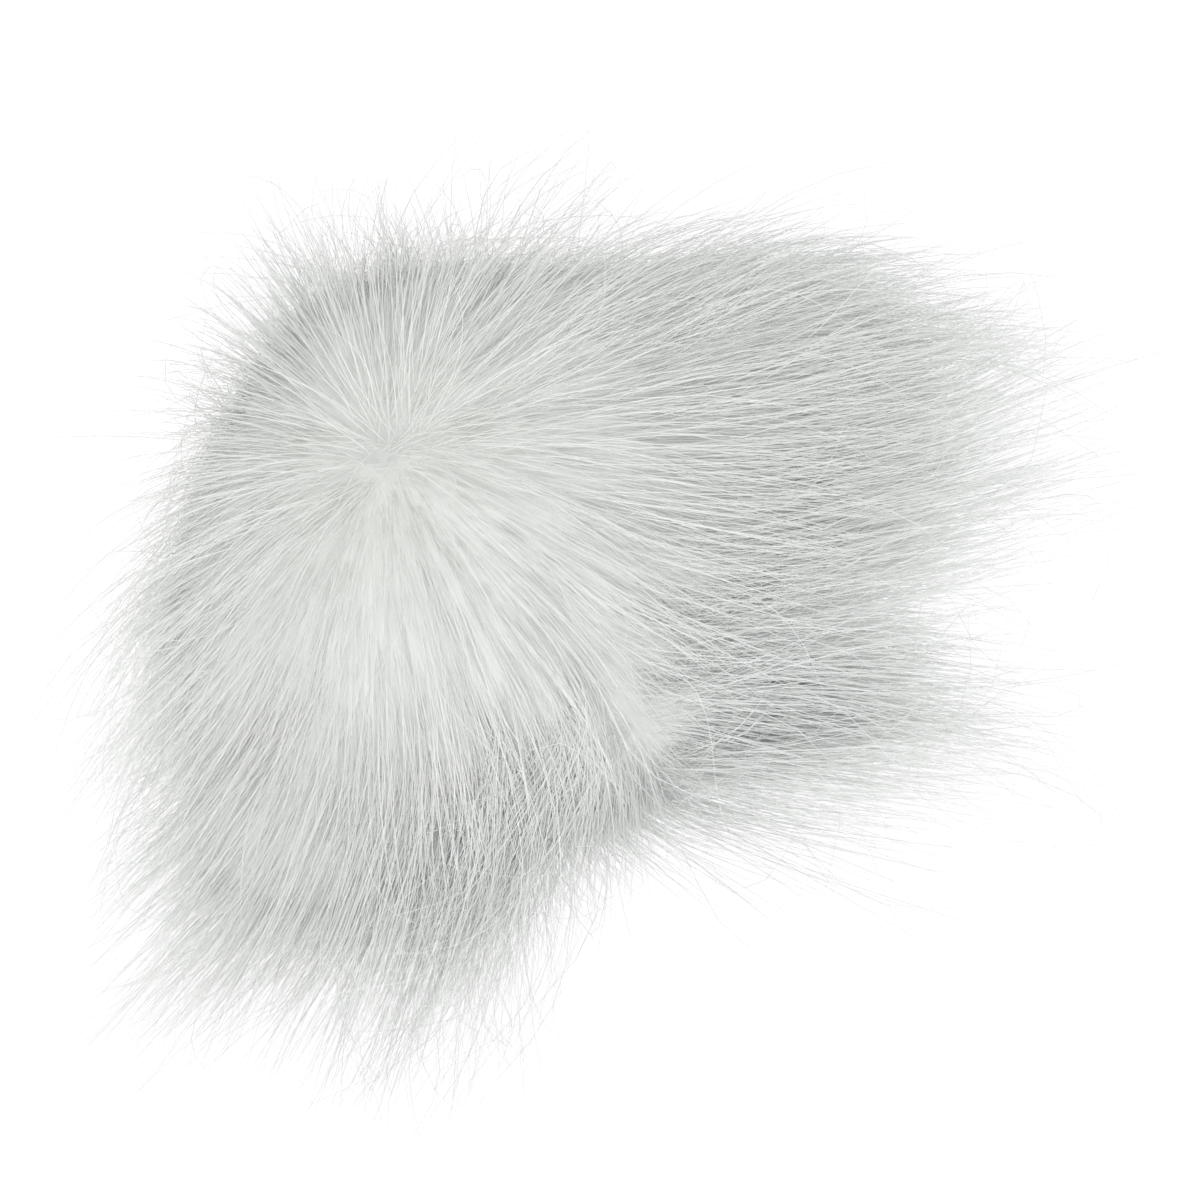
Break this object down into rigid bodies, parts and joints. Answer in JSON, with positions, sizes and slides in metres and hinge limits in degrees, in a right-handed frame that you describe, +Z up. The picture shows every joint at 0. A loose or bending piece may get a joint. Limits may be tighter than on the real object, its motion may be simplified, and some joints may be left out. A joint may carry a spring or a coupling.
{
  "type": "fur pom pom",
  "caption": "Large fluffy pom pom of long white fur, parting at an off-centre crown and sweeping out longer to one side.",
  "frame": {"origin": "middle of the small flat spot on which the ball lies", "axes": "+Z up out of the floor, +X to the side where the pile is longest, -Y towards the side that the crown leans to"},
  "size_m": [0.1601, 0.1331, 0.0918],
  "materials": {
    "white_fur": "soft long pile of straight glossy fibres, off-white"
  },
  "bodies": {
    "root": {"fur_pompom": "white_fur"}
  },
  "joints": []
}
